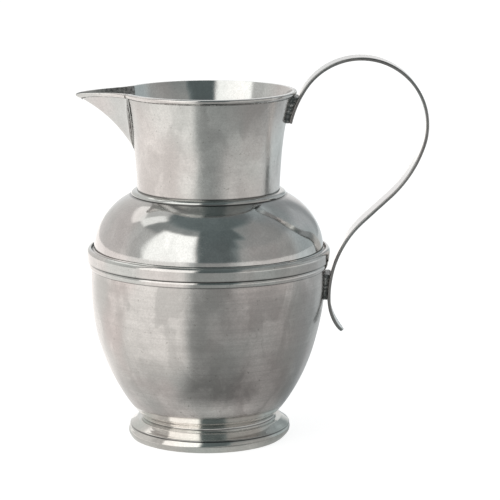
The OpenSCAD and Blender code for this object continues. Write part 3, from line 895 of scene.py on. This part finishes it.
def pewter(
    name, base, rough=0.2, lines=0.5, grain=0.4, waves=0.4, cloud=0.5, marks=0.5, dark=0.0, stipple=0.0,
    seed=0.0, along_strap=False, bright_below=None, soldered=None, painted_shade_creases=(),
):
    """Satin pewter: turned lines, cloudy grey with faint tints, grain, pits and soft waves."""
    material = bpy.data.materials.new(name)
    material.use_nodes = True
    n = Nodes(material.node_tree)
    place = n.add("ShaderNodeTexCoord").outputs["Object"]
    x, _, z = n.split(place)
    shifted = n.vector("ADD", place, (seed, seed * 0.7, seed * 1.3))
    fine_lines, broad_lines = turned_lines(n, place, along_strap)
    blotch = n.noise(shifted, BLOTCHES, 4.0, 0.6, 0.3)
    fine = n.noise(shifted, GRAIN, 3.0, 0.7)

    colour = clouds(n, shifted, blotch, base, cloud)
    grime = n.times(n.smooth(fine, 0.62, 0.40), 0.16 + dark * 0.4)
    colour = n.mix(grime, colour, tone(base, 0.42))
    streak = n.times(n.smooth(fine_lines, 0.60, 0.36), 0.34 * lines)
    colour = n.mix(streak, colour, tone(base, 0.55, 0.55, 0.54))
    pits = n.times(n.smooth(n.noise(shifted, PITS, 2.0, 0.6), 0.67, 0.74), 0.5 * marks)
    colour = n.mix(pits, colour, tone(base, 0.4, 0.4, 0.38))

    cloudy_rough = n.range(blotch, 0.25, 0.75, rough - 0.05, rough + 0.07)
    lined_rough = n.times(n.minus(fine_lines, 0.5), 0.10 * lines)
    roughness = n.math("ADD", cloudy_rough, lined_rough, clamp=True)
    for height in painted_shade_creases:
        # a dark line of painted shade in the joint, with old polish and dirt
        gap = n.math("ABSOLUTE", n.minus(z, height * MM))
        colour = n.mix(n.times(n.smooth(gap, CREASE_SHADE_END, CREASE_SHADE_FULL), 0.7), colour, CREASE_SHADE_COLOUR)
    if stipple:
        dots = n.times(n.smooth(n.noise(shifted, DOTS, 2.0, 0.6), 0.48, 0.60), stipple)
        colour = n.mix(dots, colour, DOT_COLOUR)
    if soldered is not None:
        # the side of the spout is dull and rough where the solder was filed back
        uneven = n.range(n.noise(shifted, FILED, 3.0, 0.7), 0.40, 0.60, 0.4, 1.0)
        share = n.times(n.smooth(x, *soldered), uneven)
        colour = n.mix(share, colour, FILED_COLOUR)
        roughness = n.math("ADD", roughness, n.times(share, 0.22))
    relief = 1.0
    if bright_below is not None:
        # the lowest part is polished together with the foot, and painted a lighter pewter so that its
        # reflection of the foot shows brighter: painted sheen
        share = n.smooth(z, bright_below + BRIGHT_SOFT, bright_below - BRIGHT_SOFT)
        colour = n.mix(share, colour, PAINTED_SHEEN_COLOUR)
        roughness = n.math("ADD", n.times(roughness, n.minus(1.0, share)), n.times(share, BRIGHT_ROUGH))
        relief = n.minus(1.0, n.times(share, 0.8))

    normal = n.bump(n.noise(shifted, WAVY, 2.0, 0.5), 0.25 * waves, 0.0012)
    normal = n.bump(n.times(broad_lines, relief), 0.35 * lines, 0.00035, normal)
    normal = n.bump(n.times(fine_lines, relief), 0.45 * lines, 0.00012, normal)
    normal = n.bump(n.times(fine, relief), 0.30 * grain, 0.00022, normal)
    normal = n.bump(n.noise(shifted, SPECKS, 2.0, 0.6), 0.25 * grain, 0.00008, normal)

    shader = n.add("ShaderNodeBsdfPrincipled")
    shader.inputs["Metallic"].default_value = 1.0
    n.link(colour, shader.inputs["Base Color"])
    n.link(roughness, shader.inputs["Roughness"])
    n.link(normal, shader.inputs["Normal"])
    n.output("ShaderNodeOutputMaterial", shader.outputs[0])
    return material


turned_metal = pewter(
    "turned_pewter", (0.54, 0.538, 0.522), rough=0.20, lines=0.2, grain=0.3, cloud=0.85, marks=1.0, seed=1.0,
    painted_shade_creases=(LAND_Z + COLLAR_H, RIM_Z - RIM_H),
)
bowl_metal = pewter(
    "bowl_pewter", (0.515, 0.495, 0.480), rough=0.18, lines=0.5, grain=0.3, cloud=1.0, marks=1.0, seed=1.0,
    bright_below=POLISHED_SHEEN_Z, painted_shade_creases=(BEAD_Z,),
)
inner_metal = pewter(
    "inner_pewter", (0.54, 0.54, 0.53), rough=0.08, lines=0.15, grain=0.2, cloud=0.4, seed=6.0,
)
shoulder_metal = pewter(
    "polished_pewter", (0.53, 0.525, 0.515), rough=0.085, lines=0.1, grain=0.08, waves=0.6, cloud=0.55,
    marks=0.4, seed=2.0, painted_shade_creases=(LAND_Z, BAND_TOP - SHOULDER_STEP),
)
ring_metal = pewter(
    "bright_pewter", (0.55, 0.55, 0.535), rough=0.09, lines=0.35, grain=0.2, waves=0.3, cloud=0.6, marks=1.2,
    seed=3.0, painted_shade_creases=(BAND_Z, LAND_Z),
)
foot_metal = pewter(
    "foot_pewter", (0.555, 0.56, 0.535), rough=0.07, lines=0.2, grain=0.1, waves=0.2, cloud=0.5, marks=0.6,
    seed=7.0, painted_shade_creases=(ROLL_H + GROOVE / 2, FOOT_H),
)
strap_metal = pewter(
    "strap_pewter", (0.50, 0.50, 0.485), rough=0.14, lines=0.25, grain=0.4, waves=0.6, cloud=0.6, marks=0.6,
    seed=4.0, along_strap=True,
)
# The strap's lighter inner face is a painted highlight, and its darker edges are painted shade
strap_inside_highlight_metal = pewter(
    "strap_inside", (0.76, 0.76, 0.75), rough=0.16, lines=0.2, grain=0.2, cloud=0.3, marks=0.3, seed=4.0,
    along_strap=True,
)
strap_edge_shade_metal = pewter(
    "strap_edge", (0.30, 0.30, 0.295), rough=0.24, lines=0.3, grain=0.5, waves=0.6, cloud=0.8, marks=1.0,
    seed=9.0,
)
spout_metal = pewter(
    "spout_pewter", (0.49, 0.475, 0.46), rough=0.22, lines=0.3, grain=0.8, cloud=0.7, marks=1.4, seed=10.0,
    soldered=FILED_X,
)
# the pads' solder, painted much darker as shade and dark reflection in the wedges between strap and jug
solder_and_shade_metal = pewter(
    "solder", (0.17, 0.18, 0.18), rough=0.40, lines=0.0, grain=1.4, waves=1.0, dark=0.5, stipple=0.55,
    seed=5.0,
)
# dark metal of the cords: solder in the spout's seam, painted shadow under the beads
shadow_and_seam_metal = pewter(
    "painted_shadow_and_seam_solder", (0.22, 0.22, 0.215), rough=0.36, lines=0.0, grain=1.2, waves=1.0, dark=0.4, stipple=0.5,
    seed=8.0,
)


def inside_neck(face):
    x, y, z = face.center / MM
    return math.hypot(x, y) < at(neck_side, z) - NECK_WALL / 2


def inside_spout(face):
    """True on faces that look towards the jug or the middle of the channel."""
    return face.normal[0] > 1.5 * face.normal[1] * math.copysign(1, face.center[1])


def line_inside(obj, inside):
    """Gives the faces that inside() picks the metal of the polished inside."""
    obj.data.materials.append(inner_metal)
    for face in obj.data.polygons:
        if inside(face):
            face.material_index = 1


def paint_strap_light_and_shade(obj):
    """Gives the strap's inner face a lighter metal as a painted highlight, and its rounded edges a darker,
    rougher one as painted shade.
    """
    obj.data.materials.append(strap_inside_highlight_metal)
    obj.data.materials.append(strap_edge_shade_metal)
    ring = 4 * EDGE_POINTS + 2 * FACE_POINTS
    outer_face = range(EDGE_POINTS - 1, EDGE_POINTS + FACE_POINTS + 1)
    inner_face = range(3 * EDGE_POINTS + FACE_POINTS - 1, 3 * EDGE_POINTS + 2 * FACE_POINTS + 1)
    for face in obj.data.polygons:
        corners = [v % ring for v in face.vertices]
        if all(v in inner_face for v in corners):
            face.material_index = 1
        elif not all(v in outer_face for v in corners):
            face.material_index = 2


def dress(obj, material, *nodes, slot="pewter"):
    obj.data.materials.append(material)
    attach(obj, "root")
    if nodes:
        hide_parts(*nodes)
    return obj


dress(foot(), foot_metal, "foot")
dress(bowl(), bowl_metal, "bowl")
dress(girth_bead(), ring_metal, "girth_bead")
dress(girth_band(), ring_metal, "girth_band")
dress(shoulder(), shoulder_metal, "shoulder")
dress(collar(), ring_metal, "collar")
line_inside(dress(neck(), turned_metal, "neck"), inside_neck)
dress(rim_bead(), ring_metal, "rim_bead")
line_inside(dress(spout(), spout_metal, "spout"), inside_spout)
dress(lip_bead(), ring_metal, "lip_bead")
paint_strap_light_and_shade(dress(strap(), strap_metal, "handle"))

top_pad = pad("top_solder_pad", 0, STRAP_TOP_Z, TOP_PAD_H, neck_side, 0.4)
low_pad = pad("low_solder_pad", LOW_SEAT_BEND, LOW_SEAT_Z, LOW_PAD_H, bowl_side, 2.2)
dress(top_pad, solder_and_shade_metal, "handle_top_pad", slot="solder")
dress(low_pad, solder_and_shade_metal, "handle_low_pad", slot="solder")
dress(spout_seam(), shadow_and_seam_metal, slot="solder")
# the cord under the beads is painted shadow
dress(bead_shadow_line(), shadow_and_seam_metal, slot="solder")


# The studio: a white sweep behind, a soft box on the left and a dark room behind the camera. Each
# window has its azimuth from the camera towards the handle, its elevation, how soft its edges are
# in both, and its level. A later one lies over those before it
STUDIO = [
    # the sweep on the left and behind, and a dimmer strip between it and the soft box
    (-230, -80, -10, 44, 8, 4, 0.95),
    (-89, -72, -10, 46, 3, 3, 0.80),
    # panes high on the left
    (-138, -112, 49, 64, 3, 2, 0.95),
    (-148, -114, 37, 49, 2, 2, 1.70),
    (-116, -95, 44, 63, 2, 2, 1.70),
    # the right, high and low
    (128, 158, 46, 58, 3, 3, 0.65),
    (92, 150, -10, 30, 6, 6, 0.68),
    # the soft box
    (-70, -12.5, -6, 53.5, 4, 2, 1.95),
    # the dark of the room behind the camera, and the lighter wall to its right
    (-11, 33, -20, 64, 4, 4, 0.20),
    (-11, 46, 43, 66, 4, 5, 0.22),
    (29, 98, -12, 27, 8, 6, 0.55),
]
# Level of the walls and of the ceiling, and the elevations between which one turns into the other
WALLS = 0.47
CEILING = 0.25
CEILING_FROM = 60.0
CEILING_FULL = 68.0
# The sweep is white beyond these azimuths, up to these elevations
SWEEP_FROM = 158.0
SWEEP_FULL = 170.0
SWEEP_TOP = 50.0
SWEEP_TOP_FULL = 36.0
# Hues of the light, dark to bright and on the right
WHITE = (1, 1, 1, 1)
ROOM_COOL = (0.84, 1.0, 1.02, 1)
ROOM_WARM = (1.0, 0.985, 0.965, 1)
RIGHT_HUE = (0.93, 1.01, 1.04, 1)
TABLE_COOL = (0.99, 1.0, 0.985, 1)
TABLE_WARM = (1.04, 0.995, 0.97, 1)
TABLE_RIGHT_HUE = (0.95, 1.01, 1.04, 1)
# The table and the camera
TABLE_HALF = 8.0
TABLE_DROP = 0.00002
TABLE_COLOUR = (0.34, 0.34, 0.34, 1)
TABLE_GLOW = 0.86
CAMERA_AT = (0.0236, -1.2803, 0.3498)
CAMERA_TILT = 79.29
LENS = 164.2
SENSOR = 36


def studio():
    world = bpy.data.worlds.new("studio")
    bpy.context.scene.world = world
    world.use_nodes = True
    n = Nodes(world.node_tree)
    x, y, z = n.split(n.vector("NORMALIZE", n.add("ShaderNodeTexCoord").outputs["Generated"]))
    az = n.azimuth(x, y)
    el = n.math("DEGREES", n.math("ARCSINE", z))
    level = n.range(n.smooth(el, CEILING_FROM, CEILING_FULL), 0.0, 1.0, WALLS, CEILING)
    for az_low, az_high, el_low, el_high, az_soft, el_soft, window_level in STUDIO:
        window = n.times(n.between(az, az_low, az_high, az_soft), n.between(el, el_low, el_high, el_soft))
        level = n.blend(window, level, window_level)

    # the sweep straight behind is white to the camera, and to metal that mirrors it
    rays = n.add("ShaderNodeLightPath")
    seen = n.math("ADD", rays.outputs["Is Camera Ray"], rays.outputs["Is Glossy Ray"])
    seen = n.math("ADD", seen, rays.outputs["Is Transmission Ray"], clamp=True)
    behind = n.smooth(n.math("ABSOLUTE", az), SWEEP_FROM, SWEEP_FULL)
    sweep = n.times(behind, n.smooth(el, SWEEP_TOP, SWEEP_TOP_FULL))
    hue = n.mix(n.smooth(level, 0.20, 0.62), ROOM_COOL, ROOM_WARM)
    hue = n.mix(n.smooth(az, 85.0, 115.0), hue, RIGHT_HUE)
    room = n.add("ShaderNodeBackground")
    n.link(hue, room.inputs["Color"])
    n.link(level, room.inputs["Strength"])
    white = n.add("ShaderNodeBackground")
    n.link(WHITE, white.inputs["Color"])
    mixer = n.add("ShaderNodeMixShader")
    n.link(n.times(seen, sweep), mixer.inputs[0])
    n.link(room.outputs[0], mixer.inputs[1])
    n.link(white.outputs[0], mixer.inputs[2])
    n.output("ShaderNodeOutputWorld", mixer.outputs[0])


def table_painted_light(n, az, away):
    """The painted light and shade of the table, as metal mirrors it, by azimuth and by distance from the
    axis.
    """

    def ring(level, *steps):
        for edge, soft, after in steps:
            level = n.blend(n.smooth(az, edge - soft, edge + soft), level, after)
        return level

    # painted light and shade on the table: the soft box's pool of light painted on its left, painted shade
    # at its front, in the dark of the room, and near the foot, and its back runs up into the white sweep:
    # edge azimuth, softness and level beyond it
    beside_foot = ring(0.66, (-18, 14, 0.52), (44, 12, 0.36), (120, 6, 0.40), (166, 3, 0.6))
    near = ring(0.74, (-24, 16, 0.10), (40, 10, 0.24), (120, 6, 0.30), (166, 3, 0.6))
    middle = ring(1.10, (-17, 6, 0.29), (33, 10, 0.33), (120, 6, 0.45), (166, 3, 0.85))
    far = ring(1.16, (-17, 9, 0.24), (25, 10, 0.80), (120, 6, 0.6), (166, 3, 0.9))
    near = n.blend(n.smooth(away, 0.052, 0.068), beside_foot, near)
    level = n.blend(n.smooth(away, 0.065, 0.14), near, middle)
    return n.blend(n.smooth(away, 0.42, 0.68), level, far)


def table_material():
    """White to the camera, and to metal a glow of painted light and shade."""
    material = bpy.data.materials.new("table_white")
    material.use_nodes = True
    n = Nodes(material.node_tree)
    x, y, _ = n.split(n.add("ShaderNodeTexCoord").outputs["Object"])
    az = n.azimuth(x, y)
    rays = n.add("ShaderNodeLightPath")
    seen = n.math("ADD", rays.outputs["Is Camera Ray"], rays.outputs["Is Transmission Ray"])
    # to glossy rays the table glows with painted light and shade
    mirrored_painted_light = n.times(rays.outputs["Is Glossy Ray"], table_painted_light(n, az, n.radius(x, y)))
    strength = n.math("ADD", n.times(seen, TABLE_GLOW), mirrored_painted_light)
    hue = n.mix(n.smooth(strength, 0.5, 1.0), TABLE_COOL, TABLE_WARM)
    hue = n.mix(n.smooth(az, 80.0, 110.0), hue, TABLE_RIGHT_HUE)
    glow = n.add("ShaderNodeEmission")
    n.link(strength, glow.inputs["Strength"])
    n.link(n.mix(rays.outputs["Is Camera Ray"], hue, WHITE), glow.inputs["Color"])
    diffuse = n.add("ShaderNodeBsdfDiffuse")
    n.link(TABLE_COLOUR, diffuse.inputs["Color"])
    both = n.add("ShaderNodeAddShader")
    n.link(diffuse.outputs[0], both.inputs[0])
    n.link(glow.outputs[0], both.inputs[1])
    n.output("ShaderNodeOutputMaterial", both.outputs[0])
    return material


def table():
    corners = [(x * TABLE_HALF, y * TABLE_HALF, 0) for x, y in ((-1, -1), (1, -1), (1, 1), (-1, 1))]
    mesh = bpy.data.meshes.new("table_top")
    mesh.from_pydata(corners, [], [(0, 1, 2, 3)])
    mesh.materials.append(table_material())
    obj = bpy.data.objects.new("table_top", mesh)
    bpy.context.scene.collection.objects.link(obj)
    obj.location.z = -TABLE_DROP


studio()
table()

# The camera stands where the photograph was taken from
camera = bpy.data.objects.new("camera", bpy.data.cameras.new("camera"))
bpy.context.scene.collection.objects.link(camera)
camera.location = CAMERA_AT
camera.rotation_euler = (math.radians(CAMERA_TILT), 0, 0)
camera.data.sensor_width = SENSOR
camera.data.lens = LENS
camera.data.clip_start = 0.05
camera.data.clip_end = 50
bpy.context.scene.camera = camera
bpy.context.scene.view_settings.view_transform = "Standard"
